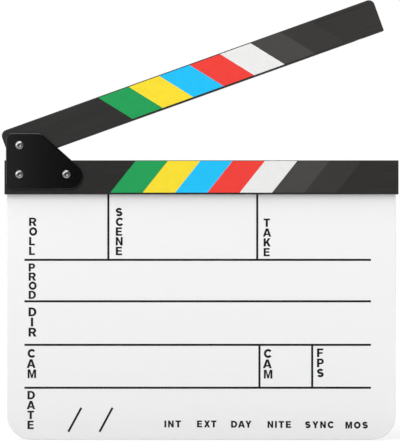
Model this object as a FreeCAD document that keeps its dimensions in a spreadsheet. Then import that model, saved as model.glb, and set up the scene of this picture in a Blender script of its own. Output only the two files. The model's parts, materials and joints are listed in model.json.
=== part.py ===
"""Clapperboard: a white acrylic slate in a grooved lower stick, and a clap stick hinged above it.

Frame: millimetres, +Z up, +X to the right seen from the front, front face towards -Y.
The origin is the middle of the slate's bottom edge. The clap stick is drawn as held open.
"""
import FreeCAD, Part
import math
import os
import Sketcher
from FreeCAD import Vector

# Driving dimensions, in millimetres and degrees
DIMENSIONS = [
    ("board_inset", 1.75, "slate's sides to the sticks' ends"),
    ("board_visible_height", 186.9, "slate below the lower stick"),
    ("board_thickness", 3, "slate sheet"),
    ("board_corner_radius", 18.5, "slate, both bottom corners"),
    ("board_edge_chamfer", 0.4, "slate, polished edge"),
    ("groove_roof", 4.8, "lower stick above the slate's groove"),
    ("groove_side_clearance", 0.05, "groove wall to slate, each side"),
    ("groove_end_clearance", 0.2, "groove end to slate"),
    ("stick_length", 300, "lower stick"),
    ("clap_extra_length", 1.2, "clap stick over the lower stick's length"),
    ("stick_height", 25.9, "both sticks"),
    ("lower_stick_thickness", 11, "lower stick, front to back"),
    ("stick_edge_chamfer", 0.4, "broken edges of both sticks"),
    ("stick_corner_radius", 4.6, "clap stick, both top corners"),
    ("closed_gap", 0.1, "between the sticks when shut"),
    ("open_angle", 19.73, "clap stick as drawn"),
    ("pivot_from_end", 11.6, "pivot to the lower stick's left end"),
    ("heel_length", 10.65, "pivot to the clap stick's left end"),
    ("pivot_from_edge", 11.3, "pivot to the clap stick's lower edge"),
    ("fixing_from_top", 10.65, "fixing screws to the lower stick's top edge"),
    ("fixing_spacing", 35.7, "left to right fixing screw"),
    ("plate_thickness", 2, "hinge plates"),
    ("plate_left", 10.4, "pivot to the plates' left edge"),
    ("plate_top", 9.4, "pivot to the plates' top edge"),
    ("plate_shoulder", 16, "pivot to the right end of the top edge"),
    ("plate_lobe_radius", 9.9, "round end of the plates"),
    ("plate_lobe_reach", 2.5, "round end's centre, right of the right fixing screw"),
    ("plate_lobe_drop", 1.6, "round end's centre, below the fixing screws"),
    ("plate_corner_radius", 4.5, "plates, both left corners"),
    ("plate_shoulder_radius", 8, "plates, right end of the top edge"),
    ("plate_edge_chamfer", 0.9, "plates, outer face"),
    ("screw_diameter", 4, "button-head screws"),
    ("head_diameter", 6.6, "screws and sleeve nuts"),
    ("head_height", 2.2, "screws and sleeve nuts"),
    ("head_rim", 0.4, "straight side under the dome"),
    ("head_flat_diameter", 3.2, "flat on top of the dome"),
    ("socket_width", 2, "hex socket across flats"),
    ("socket_depth", 1.3, "hex socket"),
    ("tip_chamfer", 0.5, "screw tips"),
    ("tip_gap", 2, "screw tip to the sleeve's floor"),
    ("barrel_wall", 0.45, "sleeve nuts, about the screw"),
    ("barrel_end_gap", 0.1, "sleeve end to the front plate"),
    ("sleeve_floor", 2, "solid end of the sleeve inside the rear plate's outer face"),
    ("thread_clearance", 0.05, "screw in sleeve, on the radius"),
    ("running_clearance", 0.05, "sleeve in its holes, on the radius"),
    ("screw_hole_clearance", 0.15, "screw in the front plate, on the radius"),
    ("washer_diameter", 10, "pivot washers"),
    ("washer_thickness", 0.5, "pivot washers"),
    ("washer_clearance", 0.05, "washer to clap stick"),
    ("magnet_diameter", 6, "latch magnets"),
    ("magnet_thickness", 3, "latch magnets"),
    ("magnet_chamfer", 0.3, "latch magnets"),
    ("magnet_from_end", 18, "latch magnets to the lower stick's free end"),
    ("magnet_inset", 0.05, "magnet face below the stick's edge"),
    ("magnet_clearance", 0.05, "magnet in its hole, on the radius"),
    ("stripe_start", 88.6, "pivot to the first stripe, at the meeting edges"),
    ("stripe_end", 27.5, "last stripe to the lower stick's free end, at the meeting edges"),
    ("stripe_run", 20.6, "lean of a stripe over the stick's height"),
    ("film_thickness", 0.15, "stripe films"),
    ("film_top_inset", 0.05, "lower films to the top edge chamfer"),
    ("film_back_inset", 0.35, "upper films to the top edge chamfer"),
    ("film_bottom_inset", 0.9, "films to the bottom edge chamfer"),
]

# Stripe colours, from the hinge to the free end
STRIPES = ["green", "yellow", "blue", "red", "white", "mid_grey", "dark_grey"]

doc = FreeCAD.newDocument("clapperboard")
sheet = doc.addObject("Spreadsheet::Sheet", "dims")
for row, (alias, size, meaning) in enumerate(DIMENSIONS, start=1):
    sheet.set(f"A{row}", meaning)
    sheet.set(f"B{row}", str(size))
    sheet.setAlias(f"B{row}", alias)
doc.recompute()

# Places worked out from the driving dimensions
PIVOT_X = "(dims.pivot_from_end - dims.stick_length / 2)"
LOWER_TOP = "(dims.board_visible_height + dims.stick_height)"
PIVOT_Z = f"({LOWER_TOP} + dims.closed_gap + dims.pivot_from_edge)"
FIXING_Z = f"({LOWER_TOP} - dims.fixing_from_top)"
FIXING_DROP = f"({PIVOT_Z} - {FIXING_Z})"
RIGHT_FIXING_X = f"({PIVOT_X} + dims.fixing_spacing)"
HALF_LOWER = "(dims.lower_stick_thickness / 2)"
UPPER_THICKNESS = "(dims.lower_stick_thickness - 2 * (dims.washer_thickness + dims.washer_clearance))"
PLATE_FACE = f"({HALF_LOWER} + dims.plate_thickness)"
SLEEVE_BORE = "(dims.screw_diameter / 2 + dims.thread_clearance)"
BARREL = f"({SLEEVE_BORE} + dims.barrel_wall)"
SLEEVE_HOLE = f"({BARREL} + dims.running_clearance)"
MAGNET_X = "(dims.stick_length / 2 - dims.magnet_from_end)"

# The sketcher counts its axes down from -1, and an edge's ends and centre up from 1
HORIZONTAL_AXIS, VERTICAL_AXIS = range(-1, -3, -1)
START, END, CENTRE = range(1, 4)
SAME = 1e-6


def value(expression):
    """The number that an expression of the sheet's dimensions gives."""
    return float(sheet.evalExpression(expression))


def new_body(label):
    """An empty body, named for the piece."""
    body = doc.addObject("PartDesign::Body", label)
    body.Label = label
    return body


def new_sketch(body, name, plane, offset=None):
    """A sketch on one of the body's own planes, moved along the plane's normal by an expression."""
    sketch = body.newObject("Sketcher::SketchObject", name)
    support = [feature for feature in body.Origin.OriginFeatures if feature.Role == plane]
    sketch.AttachmentSupport = [(support[0], "")]
    sketch.MapMode = "FlatFace"
    if offset:
        sketch.setExpression("AttachmentOffset.Base.z", offset)
    return sketch


def hold(sketch, kind, expression, *references):
    """A constraint whose size follows an expression."""
    index = sketch.addConstraint(Sketcher.Constraint(kind, *references, value(expression)))
    sketch.setExpression(f"Constraints[{index}]", expression)


def hold_point(sketch, edge, end, place):
    """Keep one end or the centre of an edge at a place given by two expressions."""
    for kind, axis, expression in zip(("DistanceX", "DistanceY"), (VERTICAL_AXIS, HORIZONTAL_AXIS), place):
        if expression == "0":
            sketch.addConstraint(Sketcher.Constraint("PointOnObject", edge, end, axis))
        else:
            hold(sketch, kind, expression, HORIZONTAL_AXIS, START, edge, end)


def draw_circle(sketch, place, radius):
    """A circle at a place, both given by expressions."""
    centre = Vector(value(place[0]), value(place[1]), 0)
    edge = sketch.addGeometry(Part.Circle(centre, Vector(0, 0, 1), value(radius)), False)
    hold_point(sketch, edge, CENTRE, place)
    hold(sketch, "Radius", radius, edge)


def dome_arc(start, end):
    """The short arc between two points, centred on the vertical axis, and its ends in that order."""
    height = (end.dot(end) - start.dot(start)) / (2 * (end.y - start.y))
    centre = Vector(0, height, 0)
    first, last = [math.atan2(point.y - height, point.x) for point in (start, end)]
    sweep = math.remainder(last - first, 2 * math.pi)
    circle = Part.Circle(centre, Vector(0, 0, 1), start.distanceToPoint(centre))
    if sweep > 0:
        return Part.ArcOfCircle(circle, first, first + sweep), (START, END)
    return Part.ArcOfCircle(circle, last, last - sweep), (END, START)


def draw_outline(sketch, corners, dome=None):
    """Straight edges through the corners, each a pair of expressions; edge number dome is an arc."""
    points = [Vector(value(x), value(y), 0) for x, y in corners]
    edges = []
    for number, (start, end) in enumerate(zip(points, points[1:] + points[:1])):
        if number == dome:
            arc, ends = dome_arc(start, end)
            edge = sketch.addGeometry(arc, False)
            sketch.addConstraint(Sketcher.Constraint("PointOnObject", edge, CENTRE, VERTICAL_AXIS))
        else:
            ends = (START, END)
            edge = sketch.addGeometry(Part.LineSegment(start, end), False)
        edges.append((edge, ends))
    for (edge, ends), (following, following_ends) in zip(edges, edges[1:] + edges[:1]):
        sketch.addConstraint(Sketcher.Constraint("Coincident", edge, ends[1], following, following_ends[0]))
    for (edge, ends), corner in zip(edges, corners):
        hold_point(sketch, edge, ends[0], corner)


def pad(body, sketch, length, symmetric=False):
    """Thicken a sketch along its normal, or both ways about it."""
    feature = body.newObject("PartDesign::Pad", f"{sketch.Name}_pad")
    feature.Profile = sketch
    feature.SideType = "Symmetric" if symmetric else "One side"
    feature.setExpression("Length", length)
    doc.recompute()
    return feature


def pocket(body, sketch, depth=None, towards_normal=False):
    """Cut a sketch out of the body, to a depth or right through both ways."""
    before = body.Shape.Volume
    feature = body.newObject("PartDesign::Pocket", f"{sketch.Name}_pocket")
    feature.Profile = sketch
    if depth:
        feature.Reversed = towards_normal
        feature.setExpression("Length", depth)
    else:
        feature.Type = "ThroughAll"
        feature.SideType = "Symmetric"
    doc.recompute()
    if body.Shape.Volume > before - SAME:
        raise RuntimeError(f"{feature.Name} cuts nothing")
    return feature


def turn(body, sketch):
    """Revolve a profile about the sketch's vertical axis."""
    feature = body.newObject("PartDesign::Revolution", f"{sketch.Name}_turned")
    feature.Profile = sketch
    feature.ReferenceAxis = (sketch, ["V_Axis"])
    doc.recompute()
    return feature


def dress_edges(body, kind, size_name, size, chosen):
    """Fillet or chamfer the chosen edges of the body's last feature."""
    base = body.Tip
    names = [f"Edge{number}" for number, edge in enumerate(base.Shape.Edges, start=1) if chosen(edge)]
    feature = body.newObject(f"PartDesign::{kind}", f"{body.Name}_{kind.lower()}")
    feature.Base = (base, names)
    feature.setExpression(size_name, size)
    doc.recompute()
    return feature


def round_edges(body, radius, chosen):
    """Round the chosen edges of the body."""
    return dress_edges(body, "Fillet", "Radius", radius, chosen)


def chamfer_edges(body, size, chosen):
    """Break the chosen edges of the body at 45 degrees."""
    return dress_edges(body, "Chamfer", "Size", size, chosen)


def all_at(edge, reading, *levels):
    """True if every end of the edge reads the same one of the levels."""
    readings = [reading(vertex.Point) for vertex in edge.Vertexes]
    return any(all(abs(number - level) < SAME for number in readings) for level in levels)


def corner_edge_at(x, z):
    """A test for the front-to-back edge of a plate or board at one corner."""
    return lambda edge: all_at(edge, lambda point: point.x, x) and all_at(edge, lambda point: point.z, z)


def on_faces(half_thickness):
    """A test for the outline edges of a piece's front and rear faces."""
    return lambda edge: all_at(edge, lambda point: point.y, half_thickness, -half_thickness)


def place(body, x, z, angle=None):
    """Put a body drawn about its own origin at X and Z, opened by an angle about its front-to-back axis."""
    body.Placement = FreeCAD.Placement(Vector(), FreeCAD.Rotation(Vector(0, -1, 0), 1))
    body.setExpression("Placement.Base.x", x)
    body.setExpression("Placement.Base.z", z)
    body.setExpression("Placement.Rotation.Angle", angle or "0")


# Slate: one sheet, its top edge a tongue in the lower stick, drilled for the two fixing sleeves
slate = new_body("slate_board")
HALF_BOARD = "(dims.stick_length / 2 - dims.board_inset)"
GROOVE_TOP = f"({LOWER_TOP} - dims.groove_roof)"
BOARD_TOP = f"({GROOVE_TOP} - dims.groove_end_clearance)"
sheet_outline = new_sketch(slate, "slate_outline", "XZ_Plane")
draw_outline(sheet_outline, [
    (f"-{HALF_BOARD}", "0"),
    (HALF_BOARD, "0"),
    (HALF_BOARD, BOARD_TOP),
    (f"-{HALF_BOARD}", BOARD_TOP),
])
pad(slate, sheet_outline, "dims.board_thickness", symmetric=True)
board_ends = (value(f"-{HALF_BOARD}"), value(HALF_BOARD))
board_corners = [corner_edge_at(x, 0) for x in board_ends]
round_edges(slate, "dims.board_corner_radius", lambda edge: any(test(edge) for test in board_corners))
on_board_faces = on_faces(value("dims.board_thickness / 2"))
board_top = value(BOARD_TOP)
chamfer_edges(slate, "dims.board_edge_chamfer", lambda edge: (
    on_board_faces(edge) and not all_at(edge, lambda point: point.z, board_top)))
slate_holes = new_sketch(slate, "slate_holes", "XZ_Plane")
for hole_x in (PIVOT_X, RIGHT_FIXING_X):
    draw_circle(slate_holes, (hole_x, FIXING_Z), SLEEVE_HOLE)
pocket(slate, slate_holes)

# Lower stick: a bar with a groove along its underside for the slate
lower_stick = new_body("lower_stick")
GROOVE_HALF = "(dims.board_thickness / 2 + dims.groove_side_clearance)"
section = new_sketch(lower_stick, "lower_stick_section", "YZ_Plane")
draw_outline(section, [
    (f"-{HALF_LOWER}", "dims.board_visible_height"),
    (f"-{GROOVE_HALF}", "dims.board_visible_height"),
    (f"-{GROOVE_HALF}", GROOVE_TOP),
    (GROOVE_HALF, GROOVE_TOP),
    (GROOVE_HALF, "dims.board_visible_height"),
    (HALF_LOWER, "dims.board_visible_height"),
    (HALF_LOWER, LOWER_TOP),
    (f"-{HALF_LOWER}", LOWER_TOP),
])
pad(lower_stick, section, "dims.stick_length", symmetric=True)
chamfer_edges(lower_stick, "dims.stick_edge_chamfer", on_faces(value(HALF_LOWER)))
stick_holes = new_sketch(lower_stick, "lower_stick_holes", "XZ_Plane")
for hole_x in (PIVOT_X, RIGHT_FIXING_X):
    draw_circle(stick_holes, (hole_x, FIXING_Z), SLEEVE_HOLE)
pocket(lower_stick, stick_holes)
MAGNET_HOLE = "(dims.magnet_diameter / 2 + dims.magnet_clearance)"
MAGNET_HOLE_DEPTH = "(dims.magnet_thickness + dims.magnet_inset)"
lower_magnet_hole = new_sketch(lower_stick, "lower_magnet_hole", "XY_Plane", LOWER_TOP)
draw_circle(lower_magnet_hole, (MAGNET_X, "0"), MAGNET_HOLE)
pocket(lower_stick, lower_magnet_hole, MAGNET_HOLE_DEPTH)

# Clap stick, drawn shut about the pivot: round top corners, and a heel that clears the lower stick
clap_stick = new_body("upper_stick")
LEFT_END = "-dims.heel_length"
RIGHT_END = "(dims.stick_length + dims.clap_extra_length - dims.heel_length)"
LOWER_EDGE = "-dims.pivot_from_edge"
UPPER_EDGE = "(dims.stick_height - dims.pivot_from_edge)"
clap_outline = new_sketch(clap_stick, "upper_stick_outline", "XZ_Plane")
draw_outline(clap_outline, [
    (LEFT_END, LOWER_EDGE),
    (RIGHT_END, LOWER_EDGE),
    (RIGHT_END, UPPER_EDGE),
    (LEFT_END, UPPER_EDGE),
])
pad(clap_stick, clap_outline, UPPER_THICKNESS, symmetric=True)
top_corners = [corner_edge_at(value(x), value(UPPER_EDGE)) for x in (LEFT_END, RIGHT_END)]
round_edges(clap_stick, "dims.stick_corner_radius", lambda edge: any(test(edge) for test in top_corners))
heel = new_sketch(clap_stick, "heel_relief", "XZ_Plane")
PAST_HEEL = "-(dims.pivot_from_edge + dims.heel_length)"
draw_outline(heel, [
    (LOWER_EDGE, "0"),
    (PAST_HEEL, "0"),
    (PAST_HEEL, PAST_HEEL),
    ("0", PAST_HEEL),
    ("0", LOWER_EDGE),
], dome=4)
pocket(clap_stick, heel)
chamfer_edges(clap_stick, "dims.stick_edge_chamfer", on_faces(value(f"{UPPER_THICKNESS} / 2")))
pivot_hole = new_sketch(clap_stick, "pivot_hole", "XZ_Plane")
draw_circle(pivot_hole, ("0", "0"), SLEEVE_HOLE)
pocket(clap_stick, pivot_hole)
CLAP_MAGNET_X = f"({MAGNET_X} - {PIVOT_X})"
upper_magnet_hole = new_sketch(clap_stick, "upper_magnet_hole", "XY_Plane", LOWER_EDGE)
draw_circle(upper_magnet_hole, (CLAP_MAGNET_X, "0"), MAGNET_HOLE)
pocket(clap_stick, upper_magnet_hole, MAGNET_HOLE_DEPTH, towards_normal=True)
place(clap_stick, PIVOT_X, PIVOT_Z, "dims.open_angle")


def hinge_plate(label, inner_face, outer_face, hole_radius):
    """A cranked plate about the pivot, between two distances in front of the middle plane."""
    plate = new_body(label)
    bottom = f"-({FIXING_DROP} + dims.plate_lobe_drop + dims.plate_lobe_radius)"
    lobe = ("(dims.fixing_spacing + dims.plate_lobe_reach)", f"-({FIXING_DROP} + dims.plate_lobe_drop)")
    top_left = ("-dims.plate_left", "dims.plate_top")
    shoulder = ("dims.plate_shoulder", "dims.plate_top")
    bottom_left = ("-dims.plate_left", bottom)
    sketch = new_sketch(plate, f"{label}_outline", "XZ_Plane", inner_face)
    left, right, low = [Vector(value(x), value(z), 0) for x, z in (top_left, shoulder, bottom_left)]
    centre = Vector(value(lobe[0]), value(lobe[1]), 0)
    radius = value("dims.plate_lobe_radius")
    foot = centre - Vector(0, radius, 0)
    slope = centre - right
    rise = math.atan2(slope.y, slope.x) + math.asin(radius / slope.Length) + math.pi / 2
    tangent = centre + Vector(math.cos(rise), math.sin(rise), 0) * radius
    top_edge = sketch.addGeometry(Part.LineSegment(left, right), False)
    sloping_edge = sketch.addGeometry(Part.LineSegment(right, tangent), False)
    circle = Part.Circle(centre, Vector(0, 0, 1), radius)
    round_end = sketch.addGeometry(Part.ArcOfCircle(circle, -math.pi / 2, rise), False)
    bottom_edge = sketch.addGeometry(Part.LineSegment(foot, low), False)
    left_edge = sketch.addGeometry(Part.LineSegment(low, left), False)
    for joined in [
        ("Coincident", top_edge, END, sloping_edge, START),
        ("Tangent", sloping_edge, END, round_end, END),
        ("Tangent", round_end, START, bottom_edge, START),
        ("Coincident", bottom_edge, END, left_edge, START),
        ("Coincident", left_edge, END, top_edge, START),
        ("Horizontal", bottom_edge),
        ("Horizontal", top_edge),
        ("Vertical", left_edge),
    ]:
        sketch.addConstraint(Sketcher.Constraint(*joined))
    hold_point(sketch, top_edge, START, top_left)
    hold(sketch, "DistanceX", shoulder[0], HORIZONTAL_AXIS, START, top_edge, END)
    hold_point(sketch, round_end, CENTRE, lobe)
    hold(sketch, "Radius", "dims.plate_lobe_radius", round_end)
    pad(plate, sketch, "dims.plate_thickness")
    round_edges(plate, "dims.plate_shoulder_radius", corner_edge_at(right.x, right.y))
    corners = [corner_edge_at(point.x, point.y) for point in (left, low)]
    round_edges(plate, "dims.plate_corner_radius", lambda edge: any(test(edge) for test in corners))
    outer_y = -value(outer_face)
    chamfer_edges(plate, "dims.plate_edge_chamfer", lambda edge: all_at(edge, lambda point: point.y, outer_y))
    holes = new_sketch(plate, f"{label}_holes", "XZ_Plane")
    for spot in [("0", "0"), ("0", f"-{FIXING_DROP}"), ("dims.fixing_spacing", f"-{FIXING_DROP}")]:
        draw_circle(holes, spot, hole_radius)
    pocket(plate, holes)
    place(plate, PIVOT_X, PIVOT_Z)
    return plate


# Hinge plates: the front one passes the screws, the rear one passes the sleeves
SCREW_HOLE = "(dims.screw_diameter / 2 + dims.screw_hole_clearance)"
front_plate = hinge_plate("front_hinge_plate", HALF_LOWER, PLATE_FACE, SCREW_HOLE)
rear_plate = hinge_plate("rear_hinge_plate", f"-{PLATE_FACE}", f"-{PLATE_FACE}", SLEEVE_HOLE)


def cut_hex_socket(body, name, head_top, towards_normal):
    """A hex socket in the top of a head, head_top in front of the middle plane."""
    socket = new_sketch(body, f"{name}_socket", "XZ_Plane", head_top)
    half_flat = "dims.socket_width / 2"
    corner = "dims.socket_width / sqrt(3)"
    half_corner = f"{corner} / 2"
    draw_outline(socket, [
        (corner, "0"),
        (half_corner, half_flat),
        (f"-{half_corner}", half_flat),
        (f"-{corner}", "0"),
        (f"-{half_corner}", f"-{half_flat}"),
        (half_corner, f"-{half_flat}"),
    ])
    pocket(body, socket, "dims.socket_depth", towards_normal)


def button_screw(label, x, z):
    """A button-head screw through the front plate, turned about its axis."""
    screw = new_body(label)
    profile = new_sketch(screw, f"{label}_profile", "XY_Plane")
    head_top = f"({PLATE_FACE} + dims.head_height)"
    tip = f"({PLATE_FACE} - dims.sleeve_floor - dims.tip_gap)"
    draw_outline(profile, [
        ("0", f"-{head_top}"),
        ("dims.head_flat_diameter / 2", f"-{head_top}"),
        ("dims.head_diameter / 2", f"-({PLATE_FACE} + dims.head_rim)"),
        ("dims.head_diameter / 2", f"-{PLATE_FACE}"),
        ("dims.screw_diameter / 2", f"-{PLATE_FACE}"),
        ("dims.screw_diameter / 2", f"{tip} - dims.tip_chamfer"),
        ("dims.screw_diameter / 2 - dims.tip_chamfer", tip),
        ("0", tip),
    ], dome=1)
    turn(screw, profile)
    cut_hex_socket(screw, label, head_top, towards_normal=False)
    place(screw, x, z)
    return screw


def sleeve_nut(label, x, z):
    """A button-head sleeve nut through the rear plate, its blind bore open to the front."""
    sleeve = new_body(label)
    profile = new_sketch(sleeve, f"{label}_profile", "XY_Plane")
    head_top = f"({PLATE_FACE} + dims.head_height)"
    mouth = f"(dims.barrel_end_gap - {HALF_LOWER})"
    floor = f"({PLATE_FACE} - dims.sleeve_floor)"
    draw_outline(profile, [
        ("0", head_top),
        ("dims.head_flat_diameter / 2", head_top),
        ("dims.head_diameter / 2", f"{PLATE_FACE} + dims.head_rim"),
        ("dims.head_diameter / 2", PLATE_FACE),
        (BARREL, PLATE_FACE),
        (BARREL, mouth),
        (SLEEVE_BORE, mouth),
        (SLEEVE_BORE, floor),
        ("0", floor),
    ], dome=1)
    turn(sleeve, profile)
    cut_hex_socket(sleeve, label, f"-{head_top}", towards_normal=True)
    place(sleeve, x, z)
    return sleeve


# Binding screws: a pivot through the clap stick and two fixings through the lower stick and slate
fasteners = []
for spot, x, z in [
    ("pivot", PIVOT_X, PIVOT_Z),
    ("left_fixing", PIVOT_X, FIXING_Z),
    ("right_fixing", RIGHT_FIXING_X, FIXING_Z),
]:
    fasteners.append(button_screw(f"{spot}_screw", x, z))
    fasteners.append(sleeve_nut(f"{spot}_sleeve_nut", x, z))


def pivot_washer(label, outer_face):
    """A plain washer on the pivot sleeve, its front face outer_face in front of the middle plane."""
    washer = new_body(label)
    ring = new_sketch(washer, f"{label}_ring", "XZ_Plane", outer_face)
    draw_circle(ring, ("0", "0"), "dims.washer_diameter / 2")
    draw_circle(ring, ("0", "0"), SLEEVE_HOLE)
    pad(washer, ring, "dims.washer_thickness")
    place(washer, PIVOT_X, PIVOT_Z)
    return washer


# Pivot washers: one each side of the clap stick, against the plates
front_washer = pivot_washer("front_pivot_washer", f"({HALF_LOWER} - dims.washer_thickness)")
rear_washer = pivot_washer("rear_pivot_washer", f"-{HALF_LOWER}")


def latch_magnet(label, x, base):
    """A disc standing on the floor of its hole, drawn about the piece that holds it."""
    magnet = new_body(label)
    disc = new_sketch(magnet, f"{label}_disc", "XY_Plane", base)
    draw_circle(disc, (x, "0"), "dims.magnet_diameter / 2")
    pad(magnet, disc, "dims.magnet_thickness")
    levels = (value(base), value(f"{base} + dims.magnet_thickness"))
    chamfer_edges(magnet, "dims.magnet_chamfer", lambda edge: all_at(edge, lambda point: point.z, *levels))
    return magnet


# Latch magnets: flush in the meeting edges near the free ends
lower_magnet = latch_magnet("lower_magnet", MAGNET_X, f"({LOWER_TOP} - {MAGNET_HOLE_DEPTH})")
upper_magnet = latch_magnet("upper_magnet", CLAP_MAGNET_X, f"({LOWER_EDGE} + dims.magnet_inset)")
place(upper_magnet, PIVOT_X, PIVOT_Z, "dims.open_angle")


def stripe_film(label, number, front_face, meeting_edge, away, near, far):
    """A leaning stripe on a stick's front, from near to far from the meeting edge."""
    film = new_body(label)
    shape = new_sketch(film, f"{label}_shape", "XZ_Plane", front_face)
    corners = []
    for count, distance in [(number, near), (number + 1, near), (number + 1, far), (number, far)]:
        start = f"dims.stripe_start + {count} * {STRIPE_PITCH}"
        lean = f"dims.stripe_run * ({distance}) / dims.stick_height"
        corners.append((f"{start} - {lean}", f"{meeting_edge} {away} ({distance})"))
    draw_outline(shape, corners)
    pad(film, shape, "dims.film_thickness")
    return film


# Stripe films: the two rows lean opposite ways and meet as chevrons when the stick is shut
STRIPED_LENGTH = "(dims.stick_length - dims.pivot_from_end - dims.stripe_start - dims.stripe_end)"
STRIPE_PITCH = f"({STRIPED_LENGTH} / {len(STRIPES)})"
TOP_MARGIN = "dims.stick_edge_chamfer + dims.film_top_inset"
BACK_MARGIN = "dims.stick_edge_chamfer + dims.film_back_inset"
BOTTOM_MARGIN = "dims.stick_edge_chamfer + dims.film_bottom_inset"
films = []
for number, colour in enumerate(STRIPES):
    upper_film = stripe_film(f"upper_{colour}_stripe", number, f"{UPPER_THICKNESS} / 2", LOWER_EDGE, "+",
                             BOTTOM_MARGIN, f"dims.stick_height - ({BACK_MARGIN})")
    place(upper_film, PIVOT_X, PIVOT_Z, "dims.open_angle")
    lower_film = stripe_film(f"lower_{colour}_stripe", number, HALF_LOWER, "0", "-",
                             TOP_MARGIN, f"dims.stick_height - ({BOTTOM_MARGIN})")
    place(lower_film, PIVOT_X, LOWER_TOP)
    films += [upper_film, lower_film]

# Check every object, then write each piece to its own file
doc.recompute()
for item in doc.Objects:
    if "Invalid" in item.State or "Error" in item.State:
        raise RuntimeError(f"{item.Name} failed: {item.State}")
pieces = [slate, lower_stick, clap_stick, front_plate, rear_plate, *fasteners,
          front_washer, rear_washer, lower_magnet, upper_magnet, *films]
for piece in pieces:
    if piece.Shape.isNull() or not piece.Shape.isValid() or len(piece.Shape.Solids) != 1:
        raise RuntimeError(f"{piece.Label} is not one valid solid")
os.makedirs("parts", exist_ok=True)
for piece in pieces:
    piece.Shape.exportStep(f"parts/{piece.Label}.step")
    print(piece.Label, round(piece.Shape.Volume, 3))
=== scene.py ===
"""A hinged slate with clap sticks: a white dry-erase board under a pair of striped wooden sticks.

The front faces -Y, lengths are metres, and the board stands on its bottom edge at Z = 0.
"""

import json
import math

import bmesh
import bpy
from mathutils import Matrix, Vector


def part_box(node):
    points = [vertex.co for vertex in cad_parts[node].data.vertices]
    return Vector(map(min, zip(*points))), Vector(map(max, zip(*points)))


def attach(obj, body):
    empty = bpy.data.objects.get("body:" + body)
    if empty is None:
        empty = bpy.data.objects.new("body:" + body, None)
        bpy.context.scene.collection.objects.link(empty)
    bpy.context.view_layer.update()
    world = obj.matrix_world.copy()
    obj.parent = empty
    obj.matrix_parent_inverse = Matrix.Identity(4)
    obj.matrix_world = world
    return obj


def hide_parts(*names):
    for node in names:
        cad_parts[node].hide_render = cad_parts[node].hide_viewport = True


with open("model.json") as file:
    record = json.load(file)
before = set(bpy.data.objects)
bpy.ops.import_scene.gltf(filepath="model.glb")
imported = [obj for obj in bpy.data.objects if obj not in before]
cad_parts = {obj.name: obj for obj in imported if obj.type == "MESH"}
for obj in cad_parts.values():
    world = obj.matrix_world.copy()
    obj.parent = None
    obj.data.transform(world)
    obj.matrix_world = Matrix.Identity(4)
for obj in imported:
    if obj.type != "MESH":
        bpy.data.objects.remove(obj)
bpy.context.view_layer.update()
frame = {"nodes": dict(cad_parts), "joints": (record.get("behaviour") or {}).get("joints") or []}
collection = bpy.context.scene.collection


# Slate board
# One sheet of white dry-erase acrylic, sawn to shape, its bottom corners rounded and its edges
# scraped and polished. Its top edge is a tongue in the groove of the lower stick, screwed through.

WELD_DISTANCE = 1e-6
FLAT_ANGLE = math.radians(1)
ARRIS_ANGLE = math.radians(25)
SLATE_ARRIS = 0.00012
# Most of a noise pattern lies between these
PATTERN_LOW = 0.3
PATTERN_HIGH = 0.7


def as_plain_mesh(piece):
    """Keeps what a piece's modifiers make as its own mesh, and takes the modifiers off."""
    depsgraph = bpy.context.evaluated_depsgraph_get()
    made = piece.evaluated_get(depsgraph)
    piece.data = bpy.data.meshes.new_from_object(made, preserve_all_data_layers=True, depsgraph=depsgraph)
    piece.data.name = piece.name
    piece.modifiers.clear()
    return piece


def new_piece(name, mesh):
    """An object at the origin that holds a mesh."""
    piece = bpy.data.objects.new(name, mesh)
    collection.objects.link(piece)
    return piece


def eased_copy(node, name, arris, steps=2):
    """A copy of a CAD node with whole faces in place of its triangles, and its arrises rounded."""
    source = frame["nodes"][node].data
    mesh = bpy.data.meshes.new(name)
    mesh.from_pydata([v.co for v in source.vertices], [], [list(p.vertices) for p in source.polygons])
    shell = bmesh.new()
    shell.from_mesh(mesh)
    bmesh.ops.remove_doubles(shell, verts=shell.verts, dist=WELD_DISTANCE)
    bmesh.ops.dissolve_limit(shell, angle_limit=FLAT_ANGLE, verts=shell.verts, edges=shell.edges)
    shell.to_mesh(mesh)
    shell.free()
    mesh.shade_smooth()
    piece = new_piece(name, mesh)
    rounding = piece.modifiers.new("rounded arrises", "BEVEL")
    rounding.limit_method = "ANGLE"
    rounding.angle_limit = ARRIS_ANGLE
    rounding.width = arris
    rounding.segments = steps
    rounding.use_clamp_overlap = False
    rounding.harden_normals = True
    return as_plain_mesh(piece)


def new_finish(name):
    """A node material, its tree and its surface shader."""
    finish = bpy.data.materials.new(name)
    finish.use_nodes = True
    return finish, finish.node_tree, finish.node_tree.nodes["Principled BSDF"]


def add_node(tree, kind, **sockets):
    """A node with values on its sockets, whose names are written with _ for a space."""
    node = tree.nodes.new(kind)
    for name, value in sockets.items():
        node.inputs[name.replace("_", " ")].default_value = value
    return node


def mottle(tree, size, detail=3.0, stretch=(1, 1, 1), turn=0.0):
    """Noise with features of that size, longer along axes whose stretch is over 1, turned about Y."""
    place = add_node(tree, "ShaderNodeTexCoord")
    turned = add_node(tree, "ShaderNodeMapping", Rotation=(0, turn, 0))
    drawn = add_node(tree, "ShaderNodeMapping", Scale=[1 / (size * longer) for longer in stretch])
    noise = add_node(tree, "ShaderNodeTexNoise", Scale=1.0, Detail=detail)
    tree.links.new(place.outputs["Object"], turned.inputs["Vector"])
    tree.links.new(turned.outputs["Vector"], drawn.inputs["Vector"])
    tree.links.new(drawn.outputs["Vector"], noise.inputs["Vector"])
    return noise.outputs["Fac"]


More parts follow.
